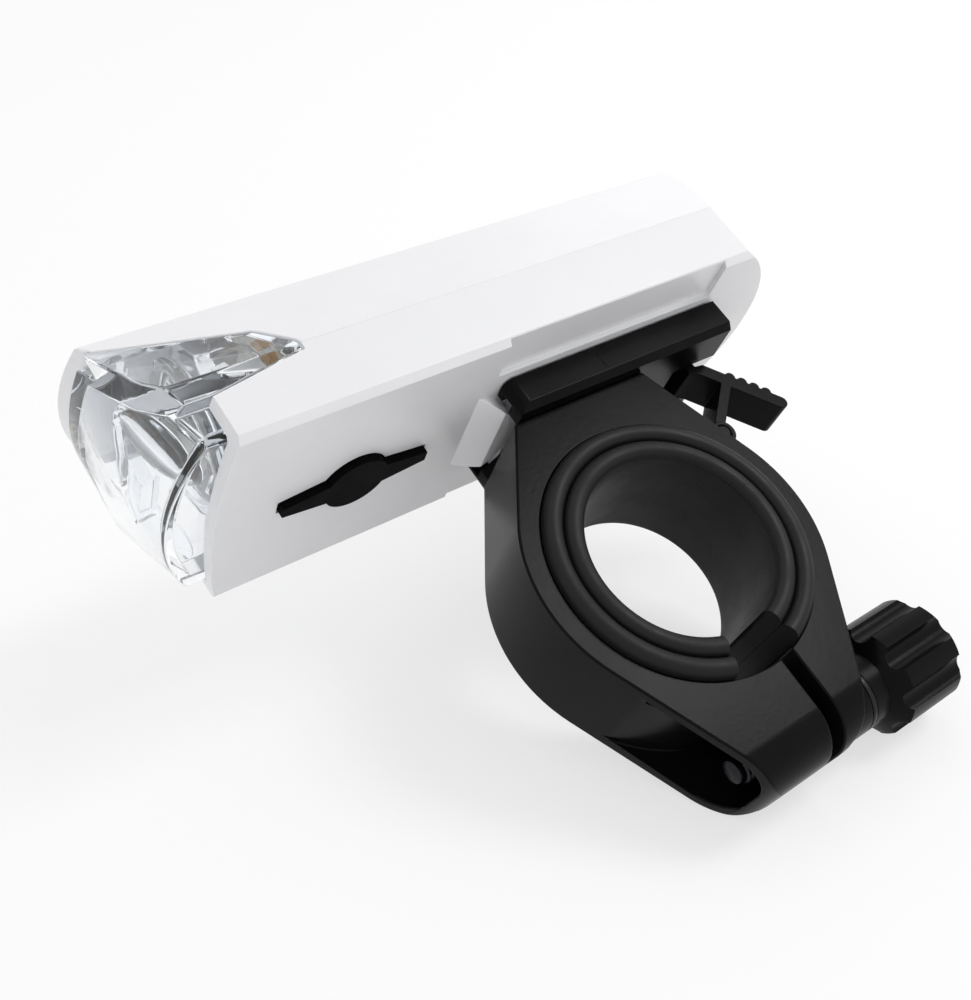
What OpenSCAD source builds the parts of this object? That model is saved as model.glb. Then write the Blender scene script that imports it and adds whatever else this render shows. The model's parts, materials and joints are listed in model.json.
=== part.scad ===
// Bicycle headlight on a quick-release handlebar clamp, in millimetres.
// The origin is the centre of the handlebar bore. The beam leaves along +X,
// the handlebar lies along Y and the lamp stands above the bar, towards +Z.

/* [Handlebar clamp] */
// Handlebar diameter that the inner liner closes on
bar_d = 25.4; // [22:0.2:28]
// Thickness of each rubber liner
liner_t = 2.6; // [2.2:0.1:3.2]
// Wall of the clamp ring
clamp_wall = 2.9; // [2.4:0.1:4]
// Width of the clamp along the handlebar
clamp_w = 15; // [14:0.5:18]
// How far the liner lips stand out of the clamp's faces
lip_h = 1.5; // [1:0.1:2.2]
// Opening of the liners over the slit, in degrees
liner_gap = 34; // [24:1:44]
// Width of the slit between the two ears
slit_w = 2.2; // [1.6:0.1:3]
// Distance of the slit behind the bar's centre
slit_x = 3; // [2:0.5:4]
// Length of the rear ear along the screw, from the slit to its boss's face
rear_ear_l = 7.4; // [6.5:0.1:9]
// Wall of the front ear that the nut pulls on
front_wall = 2.4; // [2:0.1:3]
// Walls round the front ear's pocket
pocket_wall = 1.6; // [1.2:0.1:2.2]
// Corner radius at the lower end of the ears
ear_r = 4; // [3:0.2:5]
// Corner radius at the lower end of the ears, seen along the screw
ear_round = 6; // [4:0.25:6.5]
// Length of the ears' lower end in front of the slit
ear_front_l = 11.4; // [10:0.2:13]
// Length of the ears' lower end behind the slit
ear_rear_l = 4.4; // [4.2:0.2:5]

/* [Clamp screw and knob] */
// Diameter of the clamp screw
screw_d = 4; // [3.6:0.2:4.4]
// Length of screw that stands out past the nut
screw_past_nut = 5; // [4:0.5:8]
// Width of the hexagon nut across its flats
nut_af = 7; // [6.6:0.2:8]
// Thickness of the hexagon nut
nut_t = 3.2; // [2.6:0.2:4]
// Diameter of the knob over its lobes
knob_d = 14.6; // [12:0.2:16]
// Length of the knob's fluted head
knob_head_l = 12; // [9:0.5:15]
// Number of finger flutes in the knob
knob_flutes = 8; // [6:1:10]
// Depth of each finger flute
flute_depth = 1.2; // [1:0.1:1.6]
// Length of the plain collar between the knob and the ear
knob_collar_l = 2.6; // [2:0.2:4]
// Diameter of the plain collar, of the washer and of the ear's boss
knob_collar_d = 10; // [9:0.2:11]
// Thickness of the washer under the knob
washer_t = 0.8; // [0.6:0.1:1.2]

/* [Slide shoe] */
// Height of the saddle between the ring and the shoe
saddle_h = 3.1; // [2.6:0.1:5]
// Length of the saddle's seat in front of the bar's centre
saddle_front = 9; // [7:0.5:11]
// Length of the saddle's seat behind the bar's centre
saddle_rear = 13; // [10:0.5:15]
// Reach of the shoe in front of the bar's centre
shoe_front = 8.3; // [7:0.1:10]
// Reach of the shoe behind the bar's centre
shoe_rear = 29.5; // [27:0.5:32]
// Width of the shoe
shoe_w = 20; // [18.6:0.2:22]
// Thickness of the shoe's floor
shoe_floor = 2.2; // [2:0.1:3]
// Thickness of the lips that hold the rail
shoe_lip = 1; // [0.8:0.1:1.4]
// Thickness of the shoe's side walls
shoe_side = 1.8; // [1.4:0.1:2.4]
// Width that each lip reaches in over the rail
lip_reach = 1.2; // [0.8:0.1:1.6]
// Bevel along the shoe's lower edges
shoe_bevel = 0.9; // [0.4:0.1:1.4]
// Radius of the shoe's front corners
shoe_corner = 1.7; // [1:0.1:1.7]

/* [Lamp rail] */
// Thickness of the rail's head
rail_head = 1.3; // [1:0.1:2]
// Running clearance of the rail in the shoe
rail_gap = 0.2; // [0.15:0.05:0.3]
// Depth of the hollow in the shoe's front edge, which the rail's stop fills
stop_depth = 3.5; // [2.5:0.1:4]
// Radius of the rounded stop at the rail's front end
stop_r = 7.6; // [6.5:0.1:7.8]
// Length of the ramp in front of the rail's stop
ramp_l = 3; // [2:0.2:4]

/* [Release lever] */
// Width of the lever
lever_w = 6; // [5:0.2:7]
// Thickness of the lever's arm
lever_t = 2; // [1.6:0.1:2.4]
// Length of the lever's arm, from the shoe to its tip
lever_l = 12.6; // [10:0.2:15]
// Slope of the lever's arm below level, in degrees
lever_slope = 50; // [42:1:58]
// Thickness of the leaf that carries the lever
leaf_t = 1.6; // [1.2:0.1:2]
// Height of the four thumb ridges
ridge_h = 0.6; // [0.4:0.1:0.9]
// Diameter of the lever's trunnions
trunnion_d = 2; // [1.6:0.1:2.4]

/* [Lamp body] */
// Width of the lamp
lamp_w = 36; // [35:0.5:40]
// Height of the lamp
lamp_h = 23.65; // [23.3:0.05:26]
// Height of the lamp's upright sides, up to the seam
side_h = 9.5; // [9:0.1:10]
// Width of the flat top
top_w = 19.8; // [18:0.2:22]
// Wall of the two shells
wall = 2; // [1.6:0.1:2.2]
// Bevel along the lamp's lower edges
lamp_bevel = 0.9; // [0.5:0.1:1.2]
// Reach of the lamp's floor in front of the bar's centre
lamp_front = 47.6; // [47:0.2:50]
// Reach of the lamp behind the bar's centre
lamp_rear = 42; // [41.5:0.5:45]
// Radius of the floor's front edge, seen from above
front_r = 100; // [80:5:120]
// Radius of the roof's front edge, seen from above
brow_r = 25; // [22:1:30]
// Forward lean of the roof's front edge over the floor, in degrees
brow_lean = 21; // [19:0.5:23]
// Radius of the rounded rear, seen from above
rear_r = 22; // [21:0.5:26]
// Length of the side windows, back from the front corners
window_l = 12.5; // [10:0.5:14]
// Height of each side window at the front
window_h = 12.5; // [11:0.5:13]
// Height of each side window above the seam, close to its rear tip
window_rise = 5.7; // [4:0.1:6.5]
// Height of each side window at its rear tip
window_tip = 2; // [1.5:0.1:3]

/* [Light unit] */
// Wall of the clear front lens
lens_wall = 1.8; // [1.4:0.1:2.2]
// Reach of the clear nose in front of the lamp's floor
nose_reach = 8; // [7:0.1:8.4]
// Radius of the clear nose, seen from above
nose_r = 36; // [30:1:42]
// Backward lean of the nose's chin, in degrees
nose_lean = 18.5; // [16:0.5:21]
// Diameter of the collimator
collimator_d = 13.8; // [12:0.2:14]
// Length of the collimator
collimator_l = 9; // [7:0.5:10]
// Thickness of the bright reflector plate
reflector_t = 2; // [1.5:0.1:2.5]
// Thickness of the light-emitting diode's board
led_board_t = 1.6; // [1:0.1:2]
// Side of the main light-emitting diode
led_side = 3.5; // [3:0.1:5]

/* [Battery and boards] */
// Diameter of the lithium cell
cell_d = 18.3; // [17:0.1:18.4]
// Length of the lithium cell
cell_l = 50; // [44:0.5:50.5]
// Thickness of the circuit boards
board_t = 1; // [0.8:0.1:1.6]
// Thickness of the ribs that cradle the cell
cradle_t = 2; // [1.5:0.1:3]

/* [Button and charging port] */
// Length of the power button
button_l = 21; // [18:0.5:23]
// Diameter of the button's round middle
button_d = 9; // [8:0.2:10]
// Width of each button arm where it meets the middle
button_arm_w = 5; // [4:0.2:6]
// Width of each button arm at its tip
button_tip_w = 1.8; // [1.4:0.1:2.4]
// Height of the button above the lamp's floor
button_proud = 1; // [0.8:0.1:1.4]
// Press of the power button
button_travel = 0.8; // [0.5:0.1:1]
// Width of the charging port's cover
cover_w = 11.6; // [10:0.2:13]
// Height of the charging port's cover
cover_h = 4.6; // [4.4:0.1:5]
// Thickness of the charging port's cover
cover_t = 0.9; // [0.7:0.1:1.2]

/* [Hidden] */
$fn = 96;

// Clearances
liner_fit = 0.05;
running_fit = 0.05;
free_fit = 0.2;
seat_fit = 0.1;
swing_gap = 0.3;
over = 1;
far = 200;

// Clamp
bar_r = bar_d / 2;
inner_liner_ro = bar_r + liner_t;
outer_liner_ri = inner_liner_ro + liner_fit;
outer_liner_ro = outer_liner_ri + liner_t;
ring_ri = outer_liner_ro + liner_fit;
ring_ro = ring_ri + clamp_wall;
bead_r = liner_t / 2 - 0.15;
thin_edge_t = 0.5;
thin_edge_h = 0.8;
nut_seat_room = 0.9;
pocket_skin = 0.4;
corner_step = 0.15;
spot_depth = 6;
screw_z = -(ring_ro + nut_af / 2 + nut_seat_room);
nut_room = 0.3;
ear_z = screw_z - nut_af / 2 - nut_room - pocket_wall;
slit_front = -slit_x + slit_w / 2;
slit_rear = -slit_x - slit_w / 2;
ear_front = slit_front + ear_front_l;
ear_rear = slit_rear - ear_rear_l;
boss_face = slit_rear - rear_ear_l;
nut_x = slit_front + front_wall;
screw_hole_r = screw_d / 2 + free_fit;
saddle_z = ring_ro + saddle_h;

// Screw and knob
screw_tip = nut_x + nut_t + screw_past_nut;
washer_x = boss_face - washer_t;
knob_x = washer_x - knob_collar_l;
knob_end = knob_x - knob_head_l;
screw_in_knob = 9;
tip_bevel = 0.6;
knob_bevel = 0.8;
knob_shoulder = 1.6;

// Bracket screw, from inside the ring up into the shoe
bracket_screw_d = 3;
bracket_head_d = 6;
bracket_head_h = 1.6;
bracket_head_z = ring_ri + seat_fit;
bracket_end_gap = 0.4;

// Shoe and rail
shoe_z = saddle_z;
channel_z = shoe_z + shoe_floor;
channel_h = rail_head + 2 * rail_gap;
lip_z = channel_z + channel_h;
shoe_top = lip_z + shoe_lip;
shoe_r_w = shoe_w / 2;
channel_w = shoe_r_w - shoe_side;
mouth_w = channel_w - lip_reach;
lamp_z = shoe_top + rail_gap;
rail_head_w = channel_w - rail_gap;
rail_neck_w = mouth_w - rail_gap;
rail_head_z = channel_z + rail_gap;
shoe_rear_wall = 2;
rail_rear = -shoe_rear + shoe_rear_wall + swing_gap;
stop_x = shoe_front + stop_r - stop_depth + swing_gap;
tooth_slot_w = lever_w / 2 + swing_gap;
tooth_room = 2.6;

// Lever, drawn in the XZ plane
lever_root = [-shoe_rear + 2.6, shoe_z - 0.5];
lever_dir = [-cos(lever_slope), -sin(lever_slope)];
lever_nrm = [sin(lever_slope), -cos(lever_slope)];
lever_tip = lever_root + lever_dir * lever_l;
trunnion_angle = 31;
trunnion_out = 2.4;
trunnion_at = (ring_ro + trunnion_out) * [-cos(trunnion_angle), sin(trunnion_angle)];
knuckle_r = trunnion_d / 2 + 0.7;
cheek_t = 1.8;
cheek_r = knuckle_r + 0.2;
leaf_top = lever_root + lever_dir * 4 + lever_nrm * lever_t * 0.6;
tooth_top = rail_head_z + 0.9;
tooth_x = lever_root[0] + 1.4;
tooth_t = 1.6;
ridge_count = 4;
ridge_r = 0.8;
ridge_pitch = 1.9;
ridge_start = 4.4;

// Lamp section: its height and its rear end make room for the cell
cell_clear = 0.2;
cradle_room = 1.1;
lamp_tall = max(lamp_h, cell_d + 2 * wall + cell_clear + cradle_room);
lamp_hw = lamp_w / 2;
seam_z = lamp_z + side_h;
lamp_top = lamp_z + lamp_tall;
slope_run = lamp_hw - top_w / 2;
slope_rise = lamp_tall - side_h;
slope_len = sqrt(slope_run * slope_run + slope_rise * slope_rise);
slope_ny = slope_rise / slope_len;
slope_nz = slope_run / slope_len;
floor_z = lamp_z + wall;
front_cx = lamp_front - front_r;
brow_back = 0.6;
brow_cx = lamp_front - brow_back - brow_r / cos(brow_lean);
scoop_depth = 0.7;
scoop_in = shoe_r_w + 1.2;
scoop_front = shoe_front + 1;
scoop_rear = shoe_rear - 1.5;

// Front corner of the lamp's side, where the window opens
corner_x = front_cx + sqrt(front_r * front_r - lamp_hw * lamp_hw);
window_tip_x = corner_x - window_l;
window_low = 0.24 * window_h;
window_rise_l = 2.6;
window_slope = (window_h - window_low - window_rise) / (window_l - window_rise_l);

// Light unit
lens_inset = wall + seat_fit;
lens_grip = 4.7;
nose_front = lamp_front + nose_reach;
chin_z = seam_z + 1.4;
lens_rear = window_tip_x + lens_grip;
gasket_t = 1;
axis_z = lamp_z + lamp_tall / 2 + 0.9;
collimator_foot_d = 6.4;
collimator_foot_l = 1.5;
optic_room = 3.1;
collimator_x = lamp_front - optic_room;
collimator_back = collimator_x - collimator_l;
reflector_x = collimator_x - collimator_foot_l - reflector_t;
collimator_step = 0.8;
led_t = 1;
led_gap = 0.3;
led_board_x = collimator_back - led_gap - led_t;
led_board_w = 20;
led_board_h = 12.6;
heat_t = 1.5;
side_led = [1, 2.2, 2.2];
side_led_y = 8.5;
led_screw_y = 8.6;
led_screw_z = -5.1;
led_screw_head = 2.4;
well_depth = 2.2;
reflector_foot = 2;
reflector_foot_y = 5.4;
reflector_foot_z = 5.3;
heat_leg_w = 4;

// Battery and boards
cell_r = cell_d / 2;
button_room = 2.6;
button_x = led_board_x - led_board_t - heat_t - button_room;
cell_z = lamp_top - wall - cell_clear - cell_r;
button_to_cell = 6.6;
cell_front = button_x - button_to_cell;
cell_rear = cell_front - cell_l;
charge_room = 13.6;
lamp_end = max(lamp_rear, charge_room - cell_rear);
rear_cx = -lamp_end + rear_r;
inner_rear = -lamp_end + wall;
cradle_rail = 1.4;
cradle_hw = 12;
cradle_rear_x = cell_rear + 6;
cradle_front_x = cell_front - 12;
tab_t = 0.3;
tab_w = 5;
tab_h = 12;
board_hw = 11;
switch_side = 4;
switch_h = 2.6;
plunger_d = 2.2;
plunger_h = 0.5;
flange_t = 0.7;
flange_rim = 0.6;
button_gap = 0.25;
flange_z = floor_z + seat_fit;
stem_d = 3;
stem_h = 0.4;
plunger_z = flange_z + flange_t + stem_h + button_travel + seat_fit;
control_z = plunger_z + plunger_h + switch_h;
control_rear = cell_front + tab_t;
control_front = led_board_x - led_board_t - heat_t - 0.5;
post_r = 1.4;
charge_post = 1.2;
charge_z = floor_z + charge_post;
charge_front = cell_rear - tab_t;
charge_rear = inner_rear + 1.2;
charge_hw = 6;
socket = [5.6, 7.5, 2.6];
socket_wall = 0.35;
socket_back = 0.7;
socket_floor_z = charge_z + board_t;
port_z = socket_floor_z + socket[2] / 2;
cover_floor = -lamp_end + cover_t + seat_fit;
cover_low = port_z - cover_h / 2;
hinge_r = 0.45;
cover_pin = [-lamp_end + cover_t / 2 + seat_fit, cover_low + seat_fit];
plug_l = 0.9;
plug_w = 6.6;
plug_h = 1.6;

// Shared shapes

module along_y(length, r, at = [0, 0]) {
    translate([at[0], 0, at[1]]) rotate([90, 0, 0]) cylinder(h = length, r = r, center = true);
}

module along_x(x0, x1, r, at = [0, 0]) {
    translate([x0, at[0], at[1]]) rotate([0, 90, 0]) cylinder(h = x1 - x0, r = r);
}

module along_z(z0, z1, r, at = [0, 0]) {
    translate([at[0], at[1], z0]) cylinder(h = z1 - z0, r = r);
}

module box(low, high) {
    translate(low) cube(high - low);
}

// A flat outline in X and Z, given its width along Y
module side_plate(width) {
    rotate([90, 0, 0]) linear_extrude(width, center = true) children();
}

// A flat outline in Y and Z, drawn out along X
module section_bar(x0, x1) {
    translate([x0, 0, 0]) rotate([90, 0, 90]) linear_extrude(x1 - x0) children();
}

module hexagon_bar(x0, x1, across_flats, at) {
    translate([x0, at[0], at[1]]) rotate([0, 90, 0]) rotate([0, 0, 30])
        cylinder(h = x1 - x0, r = across_flats / 2 / cos(30), $fn = 6);
}

// Unit vector at an angle
function unit(angle) = [cos(angle), sin(angle)];

// Angle of the line that touches the ring and a circle of radius r at c, on one side
function touch_angle(c, r, side) =
    atan2(c[1], c[0]) + side * acos((ring_ro - r) / norm(c));

// Clamp pieces

module clamp_outline() {
    front_c = [ear_front - ear_r, ear_z + ear_r];
    rear_c = [ear_rear + ear_r, ear_z + ear_r];
    front_u = unit(touch_angle(front_c, ear_r, 1));
    rear_u = unit(touch_angle(rear_c, ear_r, -1));
    seat_front = [saddle_front, saddle_z];
    seat_rear = [-saddle_rear, saddle_z];
    circle(r = ring_ro);
    translate(front_c) circle(r = ear_r);
    translate(rear_c) circle(r = ear_r);
    polygon([ring_ro * front_u, front_c + ear_r * front_u, front_c - [0, ear_r], rear_c - [0, ear_r],
             rear_c + (ear_r - corner_step) * rear_u, ring_ro * rear_u, [0, 0]]);
    polygon([seat_front, seat_rear, ring_ro * unit(touch_angle(seat_rear, 0, 1)), [0, 0],
             ring_ro * unit(touch_angle(seat_front, 0, -1))]);
}

// The clamp seen along the screw, with the ears' round lower end
module clamp_section(inset) {
    half = clamp_w / 2 - inset;
    r = ear_round - inset;
    low = ear_z + inset;
    translate([-half, low + r]) square([2 * half, far]);
    translate([r - half, low]) square([2 * (half - r), far]);
    for (side = [-1, 1]) translate([side * (half - r), low + r]) circle(r = r);
}

module ear_pocket() intersection() {
    section_bar(0, 2 * far) clamp_section(pocket_wall);
    side_plate(2 * clamp_w) difference() {
        polygon([[nut_x, ear_z], [far, ear_z], [far, 0], [nut_x, 0]]);
        circle(r = ring_ro + pocket_skin);
    }
}

module lever_cheeks() {
    for (side = [-1, 1])
        translate([0, side * (lever_w / 2 + swing_gap + cheek_t / 2), 0]) difference() {
            union() {
                along_y(cheek_t, cheek_r, trunnion_at);
                side_plate(cheek_t) polygon([[0, 0], trunnion_at + cheek_r * unit(90 - trunnion_angle),
                                             trunnion_at + cheek_r * unit(270 - trunnion_angle)]);
            }
            along_y(cheek_t + over, ring_ri);
        }
}

module clamp_ring() color("#1b1b1d") difference() {
    union() {
        intersection() {
            side_plate(2 * clamp_w) clamp_outline();
            section_bar(-far, far) clamp_section(0);
        }
        along_x(boss_face, slit_rear - over, knob_collar_d / 2, [0, screw_z]);
        lever_cheeks();
    }
    along_y(clamp_w + over, ring_ri);
    box([slit_rear, -clamp_w, ear_z - over], [slit_front, clamp_w, -bar_r]);
    ear_pocket();
    along_x(boss_face - over, nut_x + over, screw_hole_r, [0, screw_z]);
    along_x(boss_face - spot_depth, boss_face, knob_collar_d / 2 + swing_gap, [0, screw_z]);
    along_y(clamp_w, trunnion_d / 2 + running_fit, trunnion_at);
    along_z(0, bracket_head_z + bracket_head_h, bracket_head_d / 2 + free_fit);
    along_z(0, saddle_z + over, bracket_screw_d / 2 + free_fit);
}

module liner_gap_wedge() {
    side_plate(3 * clamp_w) polygon([[0, 0], far * unit(-90 - liner_gap / 2), far * unit(-90 + liner_gap / 2)]);
}

module liner(ri, ro, edge_t) difference() {
    face = clamp_w / 2;
    rotate([90, 0, 0]) rotate_extrude() {
        translate([ri, -face]) square([ro - ri, 2 * face]);
        for (side = [-1, 1]) translate([ro - bead_r, side * (face + lip_h - bead_r)]) circle(r = bead_r);
        translate([ro - 2 * bead_r, -face - lip_h + bead_r]) square([2 * bead_r, 2 * (face + lip_h - bead_r)]);
        if (edge_t > 0) translate([ri, -face - thin_edge_h]) square([edge_t, 2 * (face + thin_edge_h)]);
    }
    liner_gap_wedge();
}

module outer_liner() color("#232325") liner(outer_liner_ri, outer_liner_ro, 0);

module inner_liner() color("#28282a") liner(bar_r, inner_liner_ro, thin_edge_t);

module clamp_nut() color("#b9bcc0") difference() {
    hexagon_bar(nut_x, nut_x + nut_t, nut_af, [0, screw_z]);
    along_x(nut_x - over, nut_x + nut_t + over, screw_d / 2 + running_fit, [0, screw_z]);
}

module bracket_screw() color("#9fa2a6") {
    along_z(bracket_head_z, bracket_head_z + bracket_head_h, bracket_head_d / 2);
    along_z(bracket_head_z, channel_z - bracket_end_gap, bracket_screw_d / 2);
}

// Slide shoe

module shoe_outline() {
    polygon([[-shoe_r_w, shoe_z + shoe_bevel], [-shoe_r_w + shoe_bevel, shoe_z], [shoe_r_w - shoe_bevel, shoe_z],
             [shoe_r_w, shoe_z + shoe_bevel], [shoe_r_w, shoe_top], [mouth_w, shoe_top], [mouth_w, lip_z],
             [channel_w, lip_z], [channel_w, channel_z], [-channel_w, channel_z], [-channel_w, lip_z],
             [-mouth_w, lip_z], [-mouth_w, shoe_top], [-shoe_r_w, shoe_top]]);
}

// The shoe seen from above, with round front corners
module shoe_plan() translate([0, 0, shoe_z - over]) linear_extrude(shoe_top - shoe_z + 2 * over) {
    corner = [shoe_front - shoe_corner, shoe_r_w - shoe_corner];
    translate([-shoe_rear, -shoe_r_w]) square([shoe_rear + corner[0], shoe_w]);
    translate([-shoe_rear, -corner[1]]) square([shoe_rear + shoe_front, 2 * corner[1]]);
    for (side = [-1, 1]) translate([corner[0], side * corner[1]]) circle(r = shoe_corner);
}

module slide_shoe() color("#1e1e20") difference() {
    union() {
        intersection() {
            section_bar(-shoe_rear, shoe_front) shoe_outline();
            shoe_plan();
        }
        box([-shoe_rear, -shoe_r_w, channel_z - over / 2], [-shoe_rear + shoe_rear_wall, shoe_r_w, shoe_top]);
    }
    along_z(shoe_z - over, lip_z, stop_r + swing_gap, [stop_x, 0]);
    box([-shoe_rear - over, -tooth_slot_w, shoe_z - over], [tooth_x + tooth_t + tooth_room, tooth_slot_w, lamp_z]);
    along_z(shoe_z - over, channel_z - bracket_end_gap + free_fit, bracket_screw_d / 2 + running_fit);
}

// Clamp screw, washer and knob

module clamp_washer() color("#c2c4c8") difference() {
    along_x(washer_x, boss_face, knob_collar_d / 2, [0, screw_z]);
    along_x(washer_x - over, boss_face + over, screw_hole_r, [0, screw_z]);
}

module clamp_screw() color("#2c2d30") {
    along_x(knob_x - screw_in_knob, screw_tip - tip_bevel, screw_d / 2, [0, screw_z]);
    translate([screw_tip - tip_bevel, 0, screw_z]) rotate([0, 90, 0])
        cylinder(h = tip_bevel, r1 = screw_d / 2, r2 = screw_d / 2 - tip_bevel);
}

module knob() color("#19191a") translate([0, 0, screw_z]) difference() {
    rotate([0, -90, 0]) union() {
        translate([0, 0, -washer_x]) cylinder(h = knob_collar_l, r = knob_collar_d / 2);
        translate([0, 0, -knob_x]) cylinder(h = knob_shoulder, r1 = knob_collar_d / 2, r2 = knob_d / 2);
        translate([0, 0, -knob_x + knob_shoulder]) cylinder(h = knob_head_l - knob_shoulder - knob_bevel, r = knob_d / 2);
        translate([0, 0, -knob_end - knob_bevel]) cylinder(h = knob_bevel, r1 = knob_d / 2, r2 = knob_d / 2 - knob_bevel);
    }
    for (i = [0 : knob_flutes - 1]) rotate([i * 360 / knob_flutes, 0, 0])
        along_x(knob_end - over, knob_x - knob_shoulder / 2, knob_d / 8, [knob_d / 2 + knob_d / 8 - flute_depth, 0]);
    along_x(knob_x - screw_in_knob, washer_x + over, screw_d / 2);
}

// Release lever

module lever_outline() {
    inner_root = lever_root + lever_nrm * lever_t;
    inner_tip = lever_tip + lever_nrm * lever_t;
    leaf_dir = (leaf_top - trunnion_at) / norm(leaf_top - trunnion_at);
    leaf_nrm = [-leaf_dir[1], leaf_dir[0]] * leaf_t / 2;
    polygon([lever_root, lever_tip, inner_tip, inner_root]);
    translate(lever_tip + lever_nrm * lever_t / 2) circle(r = lever_t / 2);
    polygon([lever_root, inner_root, [tooth_x + tooth_t, lever_root[1] - 0.4], [tooth_x + tooth_t, tooth_top],
             [tooth_x, tooth_top], [tooth_x, lever_root[1] + 0.2]]);
    polygon([trunnion_at - leaf_nrm, trunnion_at + leaf_nrm, leaf_top + leaf_nrm, leaf_top - leaf_nrm]);
    translate(trunnion_at) circle(r = knuckle_r);
    for (i = [0 : ridge_count - 1])
        translate(lever_root + lever_dir * (ridge_start + i * ridge_pitch) - lever_nrm * (ridge_h - ridge_r)) circle(r = ridge_r);
}

module release_lever() color("#1a1a1c") {
    side_plate(lever_w) lever_outline();
    along_y(lever_w + 2 * (swing_gap + cheek_t), trunnion_d / 2, trunnion_at);
}

// Lamp shells

// Half-width and height of the lamp's section, drawn in by an inset
function seam_point(inset) = [lamp_hw - inset, seam_z - inset * (1 - slope_ny) / slope_nz];
function top_point(inset) = [top_w / 2 - inset * (1 - slope_nz) / slope_ny, lamp_top - inset];

module lamp_section(inset, bevel) {
    low = lamp_z + inset;
    right = [[lamp_hw - inset - bevel, low], [lamp_hw - inset, low + bevel], seam_point(inset), top_point(inset)];
    left = [for (i = [len(right) - 1 : -1 : 0]) [-right[i][0], right[i][1]]];
    polygon(concat(right, left));
}

// Length of the lamp at its full height, from the rear to past the front
module lamp_outer() intersection() {
    section_bar(-lamp_end - over, lamp_front + lamp_tall) lamp_section(0, lamp_bevel);
    front_limit();
    union() {
        along_z(lamp_z - over, lamp_top + over, rear_r, [rear_cx, 0]);
        box([rear_cx, -far, lamp_z - over], [far, far, lamp_top + over]);
    }
}

// The front's two rounds: an upright one at the floor and a leaning one under the roof
module front_limit() {
    along_z(lamp_z - over, lamp_top + over, front_r, [front_cx, 0]);
    translate([brow_cx, 0, lamp_z]) rotate([0, brow_lean, 0])
        translate([0, 0, -lamp_tall]) cylinder(h = 3 * lamp_tall, r = brow_r);
    box([-far, -far, lamp_z - over], [0, far, lamp_top + over]);
}

module lamp_cavity() intersection() {
    section_bar(-lamp_end, far) lamp_section(wall, lamp_bevel / 2);
    union() {
        along_z(lamp_z, lamp_top, rear_r - wall, [rear_cx, 0]);
        box([rear_cx, -far, lamp_z], [far, far, lamp_top]);
    }
}

module window_outline(gap) {
    tip = window_tip_x + gap;
    low = seam_z - window_low + gap;
    rise_x = tip + window_rise_l;
    rise_z = seam_z + window_rise - gap;
    front = nose_front + lens_wall;
    polygon([[tip, seam_z - window_tip / 2 + gap], [tip, seam_z + window_tip / 2 - gap], [rise_x, rise_z],
             [front, rise_z + (front - rise_x) * window_slope], [front, low], [corner_x, low]]);
}

// Both side windows, between two half-widths
module windows(gap, y0, y1) for (side = [-1, 1])
    translate([0, side * (y0 + y1) / 2, 0]) side_plate(y1 - y0) window_outline(gap);

module upper_shell() color("#f4f4f4") difference() {
    intersection() {
        lamp_outer();
        box([-far, -far, seam_z], [far, far, lamp_top + over]);
    }
    lamp_cavity();
    windows(0, top_w / 2, lamp_hw + over);
}

module rail() {
    section_bar(rail_rear, shoe_front - stop_depth + over) polygon([[-rail_head_w, rail_head_z], [rail_head_w, rail_head_z],
        [rail_head_w, rail_head_z + rail_head], [rail_neck_w, rail_head_z + rail_head], [rail_neck_w, lamp_z + over / 2],
        [-rail_neck_w, lamp_z + over / 2], [-rail_neck_w, rail_head_z + rail_head], [-rail_head_w, rail_head_z + rail_head]]);
    intersection() {
        along_z(rail_head_z, lamp_z + over / 2, stop_r, [stop_x, 0]);
        side_plate(shoe_w) polygon([[-shoe_rear, rail_head_z], [shoe_front, rail_head_z],
            [shoe_front + ramp_l, lamp_z], [shoe_front + ramp_l, lamp_z + over / 2], [-shoe_rear, lamp_z + over / 2]]);
    }
}

module scoops() for (side = [-1, 1]) {
    low = side > 0 ? scoop_in : -far;
    high = side > 0 ? far : -scoop_in;
    box([-scoop_rear, low, lamp_z - over], [scoop_front, high, lamp_z + scoop_depth]);
}

module button_outline(gap) {
    reach = button_l / 2 + gap;
    circle(r = button_d / 2 + gap);
    polygon([[-reach, -button_tip_w / 2 - gap], [0, -button_arm_w / 2 - gap], [reach, -button_tip_w / 2 - gap],
             [reach, button_tip_w / 2 + gap], [0, button_arm_w / 2 + gap], [-reach, button_tip_w / 2 + gap]]);
}

module at_button(z0, z1) translate([button_x, 0, z0]) linear_extrude(z1 - z0) children();

module shell_posts() {
    for (x = [control_rear + post_r + 0.4, control_front - post_r - 0.4], side = [-1, 1])
        along_z(floor_z - over / 2, control_z, post_r, [x, side * (board_hw - post_r - 0.4)]);
    for (side = [-1, 1])
        along_z(floor_z - over / 2, charge_z, post_r, [charge_front - post_r - 0.6, side * (charge_hw - post_r)]);
}

module seal_groove(gap) difference() {
    intersection() {
        box([-far, -far, seam_z - 0.8 - gap], [window_tip_x - 2 + gap, far, seam_z + (gap > 0 ? over : 0)]);
        seam_plan(wall / 2 - 0.4 - gap);
    }
    seam_plan(wall / 2 + 0.4 + gap);
}

// The lamp's plan at the seam, drawn in by an inset
module seam_plan(inset) intersection() {
    box([-far, -lamp_hw + inset, seam_z - 3], [far, lamp_hw - inset, seam_z + 3]);
    union() {
        along_z(seam_z - 3, seam_z + 3, rear_r - inset, [rear_cx, 0]);
        box([rear_cx, -far, seam_z - 3], [far, far, seam_z + 3]);
    }
}

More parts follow.
